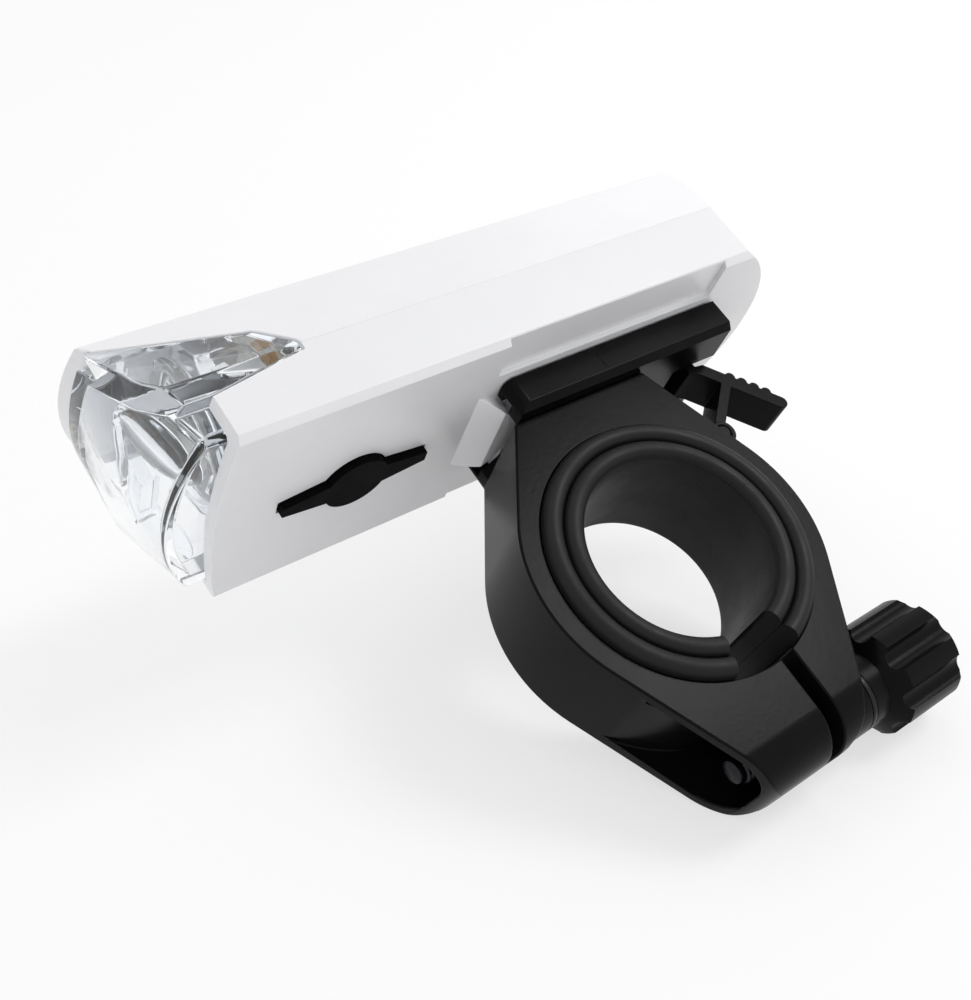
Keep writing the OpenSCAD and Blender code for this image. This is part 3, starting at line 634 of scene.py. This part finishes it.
@dataclass
class Workshop:
    """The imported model, the finishes and the ways to turn a node into a finished piece."""

    frame: dict
    wardrobe: Wardrobe = field(default_factory=Wardrobe)

    def adopt(self, piece: bpy.types.Object, body: str, coat: Coat, *nodes: str) -> bpy.types.Object:
        """Dress a piece and let it ride on a body.

        Args:
            piece: The mesh object.
            body: The body that carries it.
            coat: Its finish.
            nodes: The nodes that the piece stands for, if any.

        Returns:
            The same piece.
        """
        self.wardrobe.dress(piece, coat)
        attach(piece, body)
        if nodes:
            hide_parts(*nodes)
        LOG.info("%s on %s, %s", piece.name, body, coat.slot)
        return piece

    def keep(self, node: str, coat: Coat) -> None:
        """Leave a node's shape as it is and give it a finish."""
        self.wardrobe.dress(self.frame["nodes"][node], coat)
        LOG.info("%s as packed, %s", node, coat.slot)

    def soften(
        self,
        node: str,
        body: str,
        coat: Coat,
        edge_mm: float,
        rings: int = 2,
        roomy: bool = False,
    ) -> bpy.types.Object:
        """Replace a node by a copy whose edges are rounded as a mould rounds them.

        Args:
            node: The node to copy.
            body: The body that carries the piece.
            coat: Its finish.
            edge_mm: Width of the rounded edge.
            rings: Segments across the rounded edge.
            roomy: Whether every edge has room for the full width, beside slivers of the solid too.

        Returns:
            The finished piece.
        """
        source = self.frame["nodes"][node]
        piece = bpy.data.objects.new(node + "_soft", source.data.copy())
        bpy.context.scene.collection.objects.link(piece)
        piece.data.transform(source.matrix_world)
        piece.data.materials.clear()
        edit_all(piece)
        bpy.ops.mesh.remove_doubles(threshold=WELD)
        bpy.ops.mesh.dissolve_limited(angle_limit=math.radians(FLAT_DEG))
        bpy.ops.object.mode_set(mode="OBJECT")
        rounding = {
            "width": edge_mm * MM,
            "segments": rings,
            "limit_method": "ANGLE",
            "angle_limit": math.radians(EDGE_DEG),
            "use_clamp_overlap": not roomy,
            "miter_outer": "MITER_ARC",
        }
        finish_modifier(piece, "BEVEL", rounding)
        smooth(piece, CREASE_DEG)
        finish_modifier(piece, "WEIGHTED_NORMAL", {"keep_sharp": True})
        return self.adopt(piece, body, coat, node)


@dataclass
class Clamp:
    """The split ring, its two rubber liners, the shoe on its saddle and their fasteners."""

    shop: Workshop
    ring_edge_mm: float = 0.3
    shoe_edge_mm: float = 0.4
    nut_edge_mm: float = 0.25
    screw_edge_mm: float = 0.2
    outer_bore_mm: float = 15.35
    inner_bore_mm: float = 12.7
    liner_gap_deg: float = 34.0
    liner_steps: int = 120
    bead_mm: float = 1.2
    bead_rings: int = 7
    thin_edge_mm: float = 0.5
    thin_edge_tall_mm: float = 16.6
    thin_edge_step_mm: float = 0.03
    thin_edge_round: float = 0.25
    mould_line_mm: float = 0.22
    mould_line_x_mm: float = -6.5
    mould_line_share: float = 0.55
    mould_line_taper: float = 0.4
    mould_line_round: float = 0.2

    def build(self) -> None:
        """Make every piece of the clamp."""
        self.shop.soften("clamp_ring", "bracket", Coat.BLACK_NYLON, self.ring_edge_mm, rings=3, roomy=True)
        self.liner("outer_liner", self.outer_bore_mm)
        self.liner("inner_liner", self.inner_bore_mm)
        self.thin_edge()
        self.shop.soften("slide_shoe", "bracket", Coat.BLACK_NYLON, self.shoe_edge_mm)
        self.shop.soften("clamp_nut", "bracket", Coat.ZINC_STEEL, self.nut_edge_mm)
        self.shop.soften("bracket_screw", "bracket", Coat.ZINC_STEEL, self.screw_edge_mm)
        self.mould_lines()

    def liner(self, node: str, bore_mm: float) -> None:
        """Dress one split rubber liner, whose rims are round beads.

        Args:
            node: The liner that the sleeve stands for.
            bore_mm: Radius of its bore.
        """
        low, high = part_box(node)
        sleeve = self.sleeve(node + "_sleeve", bore_mm * MM, high.z, high.y - low.y, self.bead_mm * MM)
        self.shop.adopt(sleeve, "bracket", Coat.LINER_RUBBER, node)

    def thin_edge(self) -> None:
        """Stand the inner liner's thin edge up round its bore."""
        bore = (self.inner_bore_mm + self.thin_edge_step_mm) * MM
        wide = self.thin_edge_mm * MM
        tall = self.thin_edge_tall_mm * MM
        edge = self.sleeve("inner_liner_edge", bore, bore + wide, tall, self.thin_edge_round * wide)
        self.shop.adopt(edge, "bracket", Coat.LINER_RUBBER)

    def sleeve(self, name: str, inner: float, outer: float, tall: float, bead: float) -> bpy.types.Object:
        """Spin one split sleeve round the bar.

        Args:
            name: Name of the piece.
            inner: Radius of its bore in metres.
            outer: Radius of its outside.
            tall: Its length along the bar.
            bead: Radius of the round along its rims.

        Returns:
            The sleeve, open at the clamp's slit.
        """
        start = math.radians(90.0 - 0.5 * self.liner_gap_deg)
        bpy.ops.object.select_all(action="DESELECT")
        bpy.ops.mesh.primitive_plane_add(size=1.0, location=(0.5 * (inner + outer), 0.0, 0.0))
        sleeve = bpy.context.object
        sleeve.name = name
        sleeve.scale = (outer - inner, tall, 1.0)
        settle(sleeve)
        edit_all(sleeve)
        bpy.ops.mesh.bevel(offset=bead, segments=self.bead_rings, affect="VERTICES")
        bpy.ops.object.mode_set(mode="OBJECT")
        sleeve.rotation_euler = (0.0, start, 0.0)
        settle(sleeve)
        edit_all(sleeve)
        bpy.ops.mesh.spin(
            steps=self.liner_steps,
            angle=math.radians(360.0 - self.liner_gap_deg),
            center=(0.0, 0.0, 0.0),
            axis=(0.0, 1.0, 0.0),
        )
        bpy.ops.mesh.select_all(action="SELECT")
        bpy.ops.mesh.remove_doubles(threshold=WELD)
        close_outward()
        smooth(sleeve, TURNED_CREASE_DEG)
        return sleeve

    def mould_lines(self) -> None:
        """Raise the thin line that the mould's slide leaves down each side of the shoe."""
        low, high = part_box("slide_shoe")
        tall = self.mould_line_share * (high.z - low.z)
        wide = self.mould_line_mm * MM
        lines = []
        for side in (low.y, high.y):
            bpy.ops.object.select_all(action="DESELECT")
            bpy.ops.mesh.primitive_cube_add(
                size=1.0,
                location=(self.mould_line_x_mm * MM, side, low.z + tall),
                scale=(wide, 0.5 * wide, tall),
            )
            line = bpy.context.object
            settle(line)
            select_faces(line, lambda face: abs(face.normal.z) > FACING)
            bpy.ops.transform.resize(value=(self.mould_line_taper, 1.0, 1.0))
            bpy.ops.object.mode_set(mode="OBJECT")
            finish_modifier(line, "BEVEL", {"width": self.mould_line_round * wide, "segments": 2})
            lines.append(line)
        self.shop.adopt(join("shoe_mould_lines", lines), "bracket", Coat.BLACK_NYLON)


@dataclass
class KnobScrew:
    """The clamp screw with its thread, the fluted knob on it and the washer under the knob."""

    shop: Workshop
    pitch_mm: float = 0.7
    core_share: float = 0.84
    tip_share: float = 0.4
    plain_turns: float = 2.2
    steps_a_turn: int = 28
    knob_edge_mm: float = 0.35
    washer_edge_mm: float = 0.15

    def build(self) -> None:
        """Make the knob, the washer and the threaded screw."""
        self.shop.soften("knob", "clamp_knob", Coat.BLACK_NYLON, self.knob_edge_mm, rings=3)
        self.shop.soften("clamp_washer", "screw_washer", Coat.DARK_STEEL, self.washer_edge_mm)
        self.shop.adopt(self.thread(), "clamp_knob", Coat.DARK_STEEL, "clamp_screw")

    def thread(self) -> bpy.types.Object:
        """Wind a thread along the screw's rod.

        Returns:
            The screw with a bevelled tip and a right-hand thread.
        """
        low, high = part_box("clamp_screw")
        long = high.x - low.x
        radius = 0.5 * (high.z - low.z)
        core = self.core_share * radius
        pitch = self.pitch_mm * MM
        bpy.ops.object.select_all(action="DESELECT")
        bpy.ops.mesh.primitive_cylinder_add(
            vertices=40,
            radius=core,
            depth=long,
            location=(low.x + 0.5 * long, 0.0, 0.0),
            rotation=(0.0, math.pi / 2, 0.0),
        )
        rod = bpy.context.object
        settle(rod)
        select_faces(rod, lambda face: face.normal.x > FACING)
        bpy.ops.mesh.bevel(offset=self.tip_share * core, segments=2, affect="EDGES")
        bpy.ops.object.mode_set(mode="OBJECT")
        bpy.ops.object.select_all(action="DESELECT")
        # A triangle's point stands one radius from its middle and its side half a radius.
        crest = (radius - core) / 1.5
        bpy.ops.mesh.primitive_circle_add(
            vertices=3,
            radius=crest,
            location=(low.x + pitch, radius - crest, 0.0),
        )
        ridge = bpy.context.object
        settle(ridge)
        winding = {
            "axis": "X",
            "angle": 2 * math.pi,
            "screw_offset": pitch,
            "iterations": int(long / pitch - self.plain_turns),
            "steps": self.steps_a_turn,
            "render_steps": self.steps_a_turn,
            "use_merge_vertices": True,
        }
        finish_modifier(ridge, "SCREW", winding)
        edit_all(ridge)
        bpy.ops.mesh.fill_holes(sides=4)
        close_outward()
        screw = join("clamp_screw_thread", [rod, ridge])
        screw.data.transform(Matrix.Translation((0.0, 0.0, 0.5 * (low.z + high.z))))
        smooth(screw, TURNED_CREASE_DEG)
        return screw


@dataclass
class Lever:
    """The thumb lever that frees the lamp from the shoe."""

    shop: Workshop
    edge_mm: float = 0.3

    def build(self) -> None:
        """Round the lever's edges and ridges."""
        self.shop.soften("release_lever", "lever", Coat.BLACK_NYLON, self.edge_mm, rings=3)


@dataclass
class Shells:
    """The two white halves of the lamp, their seal, the button and the port's cover."""

    shop: Workshop
    edge_mm: float = 0.3
    button_edge_mm: float = 0.35
    cover_edge_mm: float = 0.3

    def build(self) -> None:
        """Make the housing and what moves in it."""
        self.shop.soften("upper_shell", "lamp", Coat.WHITE_ABS, self.edge_mm, roomy=True)
        self.shop.soften("lower_shell", "lamp", Coat.WHITE_ABS, self.edge_mm)
        self.shop.keep("seam_seal", Coat.SEAL_RUBBER)
        self.shop.soften("power_button", "button", Coat.BUTTON_RUBBER, self.button_edge_mm, rings=3)
        self.shop.soften("usb_cover", "port_cover", Coat.BUTTON_RUBBER, self.cover_edge_mm)


@dataclass
class LightUnit:
    """The clear front and what shows through it: optics, bright plate, diodes and their board."""

    shop: Workshop
    lens_edge_mm: float = 0.3
    optic_edge_mm: float = 0.15
    plate_edge_mm: float = 0.2
    diode_edge_mm: float = 0.12
    flange_mm: float = 1.7
    flange_depth_mm: float = 1.6
    flange_edge_mm: float = 0.35
    stair_front_mm: float = 49.6
    stair_wide_mm: float = 13.0
    stair_top_mm: float = 48.75
    stair_count: int = 4
    stair_tread_mm: float = 0.55
    stair_drop_mm: float = 1.15
    stair_edge_mm: float = 0.1
    chin_mm: Triple = (2.2, 8.4, 3.6)
    chin_at_mm: Triple = (51.3, 0.0, 38.2)
    chin_wall_mm: float = 0.7
    chin_hollow: float = 0.35
    chin_edge_mm: float = 0.2
    oval_mm: Triple = (1.3, 4.0, 5.4)
    oval_at_mm: Triple = (50.1, 8.4, 38.0)
    oval_rear: float = 0.35
    oval_lean_deg: float = 18.5

    def build(self) -> None:
        """Make the lens, its optics and the board behind them."""
        self.shop.soften("front_lens", "lamp", Coat.CLEAR_PLASTIC, self.lens_edge_mm, roomy=True)
        self.shop.keep("lens_gasket", Coat.SEAL_RUBBER)
        self.shop.soften("collimator", "lamp", Coat.CLEAR_PLASTIC, self.optic_edge_mm)
        self.shop.adopt(self.optic_flange(), "lamp", Coat.CLEAR_PLASTIC)
        self.shop.adopt(self.stair_prism(), "lamp", Coat.CLEAR_PLASTIC)
        self.shop.adopt(self.chin_prism(), "lamp", Coat.CLEAR_PLASTIC)
        self.shop.adopt(self.side_ovals(), "lamp", Coat.CLEAR_PLASTIC)
        self.shop.soften("reflector", "lamp", Coat.BRIGHT_PLATING, self.plate_edge_mm)
        self.shop.keep("led_board", Coat.WHITE_BOARD)
        self.shop.soften("main_led", "lamp", Coat.LED_PHOSPHOR, self.diode_edge_mm)
        self.shop.soften("side_leds", "lamp", Coat.LED_PHOSPHOR, self.diode_edge_mm)
        self.shop.keep("led_heat_plate", Coat.BARE_ALUMINIUM)
        self.shop.keep("board_screws", Coat.ZINC_STEEL)

    def optic_flange(self) -> bpy.types.Object:
        """Turn the clear flange that holds the main optic by its rim.

        Returns:
            The ring, whose front edge stands a little proud of the optic.
        """
        low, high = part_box("collimator")
        rim = 0.5 * (high.z - low.z)
        bpy.ops.object.select_all(action="DESELECT")
        bpy.ops.mesh.primitive_cylinder_add(
            vertices=72,
            radius=rim + self.flange_mm * MM,
            depth=self.flange_depth_mm * MM,
            location=(high.x, 0.0, 0.5 * (low.z + high.z)),
            rotation=(0.0, math.pi / 2, 0.0),
        )
        ring = bpy.context.object
        ring.name = "optic_flange"
        settle(ring)
        select_faces(ring, lambda face: abs(face.normal.x) > FACING)
        bpy.ops.mesh.inset(thickness=self.flange_mm * MM, depth=0.0, use_individual=True)
        bpy.ops.mesh.bridge_edge_loops()
        close_outward()
        round_edges(ring, self.flange_edge_mm, 4)
        smooth(ring, TURNED_CREASE_DEG)
        return ring

    def stair_prism(self) -> bpy.types.Object:
        """Cut the stepped prism that hangs under the roof of the clear nose.

        Returns:
            One clear block whose rear goes down in steps.
        """
        tread = self.stair_tread_mm
        drop = self.stair_drop_mm
        bpy.ops.object.select_all(action="DESELECT")
        bpy.ops.mesh.primitive_cube_add(
            size=1.0,
            location=metres((self.stair_front_mm, 0.0, self.stair_top_mm - 0.5 * drop)),
            scale=metres((2.0 * tread, self.stair_wide_mm, drop)),
        )
        prism = bpy.context.object
        prism.name = "lens_stair_prism"
        settle(prism)
        select_faces(prism, lambda face: face.normal.z < -FACING)
        for _ in range(self.stair_count):
            for step in ((tread, 0.0, 0.0), (0.0, 0.0, -drop)):
                bpy.ops.mesh.extrude_region_move(TRANSFORM_OT_translate={"value": metres(step)})
        close_outward()
        round_edges(prism, self.stair_edge_mm, 2)
        smooth(prism)
        return prism

    def chin_prism(self) -> bpy.types.Object:
        """Shape the oblong prism under the main optic, with a hollow in its rear.

        Returns:
            The clear block.
        """
        bpy.ops.object.select_all(action="DESELECT")
        bpy.ops.mesh.primitive_cube_add(
            size=1.0,
            location=metres(self.chin_at_mm),
            scale=metres(self.chin_mm),
        )
        prism = bpy.context.object
        prism.name = "lens_chin_prism"
        settle(prism)
        select_faces(prism, lambda face: face.normal.x < -FACING)
        bpy.ops.mesh.inset(thickness=self.chin_wall_mm * MM, depth=0.0)
        bpy.ops.transform.translate(value=metres((self.chin_hollow * self.chin_mm[0], 0.0, 0.0)))
        bpy.ops.object.mode_set(mode="OBJECT")
        round_edges(prism, self.chin_edge_mm, 3)
        smooth(prism)
        return prism

    def side_ovals(self) -> bpy.types.Object:
        """Grind the two oval lenses that lie behind the chin, flat at the rear.

        Returns:
            Both lenses as one piece.
        """
        bpy.ops.object.select_all(action="DESELECT")
        bpy.ops.mesh.primitive_uv_sphere_add(segments=48, ring_count=24, radius=1.0)
        oval = bpy.context.object
        oval.name = "lens_side_ovals"
        oval.scale = metres(self.oval_mm)
        settle(oval)
        edit_all(oval)
        bpy.ops.mesh.bisect(
            plane_co=metres((-self.oval_rear * self.oval_mm[0], 0.0, 0.0)),
            plane_no=(1.0, 0.0, 0.0),
            use_fill=True,
            clear_inner=True,
        )
        bpy.ops.object.mode_set(mode="OBJECT")
        oval.rotation_euler = (0.0, math.radians(self.oval_lean_deg), 0.0)
        oval.location = metres(self.oval_at_mm)
        settle(oval)
        other = copy_of(oval, Vector(metres((0.0, -2.0 * self.oval_at_mm[1], 0.0))))
        join(oval.name, [oval, other])
        smooth(oval)
        return oval


@dataclass
class PowerPack:
    """The cell in its cradle, its welded strips and the two small boards."""

    shop: Workshop
    cell_edge_mm: float = 0.5
    cradle_edge_mm: float = 0.3
    switch_edge_mm: float = 0.15
    socket_edge_mm: float = 0.12

    def build(self) -> None:
        """Dress the cell, the boards and what stands on them."""
        self.shop.soften("battery_cell", "lamp", Coat.CELL_WRAP, self.cell_edge_mm, rings=3)
        self.shop.soften("cell_cradle", "lamp", Coat.BLACK_NYLON, self.cradle_edge_mm)
        self.shop.keep("cell_tabs", Coat.NICKEL_STRIP)
        self.shop.keep("control_board", Coat.GREEN_BOARD)
        self.shop.soften("button_switch", "lamp", Coat.ZINC_STEEL, self.switch_edge_mm)
        self.shop.keep("charge_board", Coat.GREEN_BOARD)
        self.shop.soften("usb_socket", "lamp", Coat.NICKEL_STRIP, self.socket_edge_mm)


@dataclass(frozen=True)
class SoftLight:
    """One square soft light: its name, its place and side in metres, and its power in watts."""

    name: str
    place: Triple
    wide: float
    watts: float

    def hang(self) -> None:
        """Hang the light so that it faces the object."""
        glow = bpy.data.lights.new(self.name, "AREA")
        glow.shape = "SQUARE"
        glow.size = self.wide
        glow.energy = self.watts
        hung = bpy.data.objects.new(self.name, glow)
        hung.location = self.place
        hung.rotation_euler = (-Vector(self.place)).to_track_quat("-Z", "Y").to_euler()
        bpy.context.scene.collection.objects.link(hung)


@dataclass
class Studio:
    """The pale table that the lamp lies on, the soft lights and the camera at the photograph's angle."""

    frame: dict
    camera_mm: Triple = (89.29, 121.65, -30.19)
    right: Triple = (-0.7942, 0.2666, -0.5461)
    up: Triple = (-0.3527, 0.5297, 0.7714)
    focal_px: float = 1182.2
    frame_px: float = 971.0
    sensor_mm: float = 36.0
    nearest_m: float = 0.005
    look_down_deg: float = 35.0
    table_m: float = 6.0
    table_tone: str = "#fcfcfc"
    table_shade: float = 0.36
    fibre_mm: float = 1.5
    fibre_depth_mm: float = 0.02
    fibre_strength: float = 0.2
    sky: float = 0.67
    lights: tuple[SoftLight, ...] = (
        SoftLight("key_light", (0.05, 0.5, 0.75), 0.5, 0.5),
        SoftLight("sheen_light", (-0.42, 0.62, 0.12), 0.24, 2.0),
        SoftLight("fill_light", (0.75, 0.25, 0.1), 0.6, 0.15),
        SoftLight("back_light", (-0.6, 0.1, 0.5), 0.5, 0.4),
    )

    def build(self) -> None:
        """Make the camera, the table, the world and the lights."""
        self.camera()
        self.table()
        self.world()
        for light in self.lights:
            light.hang()

    def axes(self) -> tuple[Vector, Vector, Vector]:
        """Return the camera's right, up and backward directions, square to each other."""
        right = Vector(self.right).normalized()
        up = Vector(self.up)
        up = (up - right * up.dot(right)).normalized()
        return right, up, right.cross(up)

    def camera(self) -> None:
        """Stand the camera where the photograph was taken from."""
        lens = bpy.data.cameras.new("photo_camera")
        lens.sensor_fit = "HORIZONTAL"
        lens.sensor_width = self.sensor_mm
        lens.lens = self.focal_px / self.frame_px * self.sensor_mm
        lens.clip_start = self.nearest_m
        stand = bpy.data.objects.new("photo_camera", lens)
        turn = Matrix(self.axes()).transposed().to_4x4()
        stand.matrix_world = Matrix.Translation(Vector(self.camera_mm) * MM) @ turn
        bpy.context.scene.collection.objects.link(stand)
        bpy.context.scene.camera = stand

    def white_to_eye(self, tree: Tree, surface: Socket, bright: Socket, share: float) -> Socket:
        """Show an even white to the camera, to mirrors and through glass, and a surface to other rays.

        Args:
            tree: The material's or the world's tree.
            surface: The shader that lights and shades as usual.
            bright: The even white shader.
            share: How much of the usual shader the camera still sees.

        Returns:
            The mixed shader.
        """
        path = add_node(tree, "ShaderNodeLightPath").outputs
        seen = largest(tree, path["Is Camera Ray"], path["Is Glossy Ray"], path["Is Transmission Ray"])
        part = add_node(tree, "ShaderNodeMath", {"operation": "MULTIPLY", 1: 1.0 - share}, {0: seen})
        links = {0: part.outputs["Value"], 1: surface, 2: bright}
        return add_node(tree, "ShaderNodeMixShader", links=links).outputs["Shader"]

    def table(self) -> None:
        """Lay a wide sheet of paper under the point that is lowest as the lamp lies there."""
        _, up, back = self.axes()
        tilt = math.radians(self.look_down_deg)
        normal = up * math.cos(tilt) + back * math.sin(tilt)
        lowest = min(
            normal.dot(node.matrix_world @ corner.co)
            for node in self.frame["nodes"].values()
            for corner in node.data.vertices
        )
        bpy.ops.object.select_all(action="DESELECT")
        bpy.ops.mesh.primitive_plane_add(
            size=self.table_m,
            location=normal * lowest,
            rotation=normal.to_track_quat("Z", "Y").to_euler(),
        )
        sheet = bpy.context.object
        sheet.name = "studio_table"
        settle(sheet)
        sheet.data.materials.append(self.paper())

    def paper(self) -> bpy.types.Material:
        """Build the sheet's paper.

        Returns:
            The finished material, which shows on the sheet's upper side only.
        """
        # Matt paper: an even white to the eye, with a faint shadow under the object.
        paper = bpy.data.materials.new("matt_paper")
        paper.use_nodes = True
        tree = paper.node_tree
        tree.nodes.clear()
        place = add_node(tree, "ShaderNodeTexCoord").outputs["Object"]
        bump = add_node(
            tree,
            "ShaderNodeBump",
            {"Strength": self.fibre_strength, "Distance": self.fibre_depth_mm * MM},
            {"Height": noise(tree, place, self.fibre_mm)},
        )
        matt = add_node(
            tree,
            "ShaderNodeBsdfDiffuse",
            {"Color": linear(self.table_tone)},
            {"Normal": bump.outputs["Normal"]},
        )
        white = add_node(tree, "ShaderNodeEmission", {"Strength": 1.0})
        shown = self.white_to_eye(tree, matt.outputs["BSDF"], white.outputs["Emission"], self.table_shade)
        # From below there is nothing to see of the sheet, so that it hides no view of the object.
        under = add_node(tree, "ShaderNodeNewGeometry").outputs["Backfacing"]
        nothing = add_node(tree, "ShaderNodeBsdfTransparent").outputs["BSDF"]
        sided = add_node(tree, "ShaderNodeMixShader", links={0: under, 1: shown, 2: nothing})
        add_node(tree, "ShaderNodeOutputMaterial", links={"Surface": sided.outputs["Shader"]})
        return paper

    def world(self) -> None:
        """Fill the room with an even grey light that looks white to the camera."""
        room = bpy.data.worlds.new("white_room")
        bpy.context.scene.world = room
        room.use_nodes = True
        tree = room.node_tree
        tree.nodes.clear()
        even = linear("#ffffff")
        soft = add_node(tree, "ShaderNodeBackground", {"Color": even, "Strength": self.sky})
        white = add_node(tree, "ShaderNodeBackground", {"Color": even, "Strength": 1.0})
        shown = self.white_to_eye(tree, soft.outputs["Background"], white.outputs["Background"], 0.0)
        add_node(tree, "ShaderNodeOutputWorld", links={"Surface": shown})


def main() -> None:
    """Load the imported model, dress it and set the studio round it."""
    logging.basicConfig(level=logging.INFO, format="%(name)s: %(message)s")
    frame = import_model()
    bpy.context.scene.view_settings.view_transform = "Standard"
    Studio(frame).build()
    shop = Workshop(frame)
    for kind in (Clamp, KnobScrew, Lever, Shells, LightUnit, PowerPack):
        kind(shop).build()
        LOG.info("%s is done", kind.__name__)


if __name__ == "__main__":
    main()
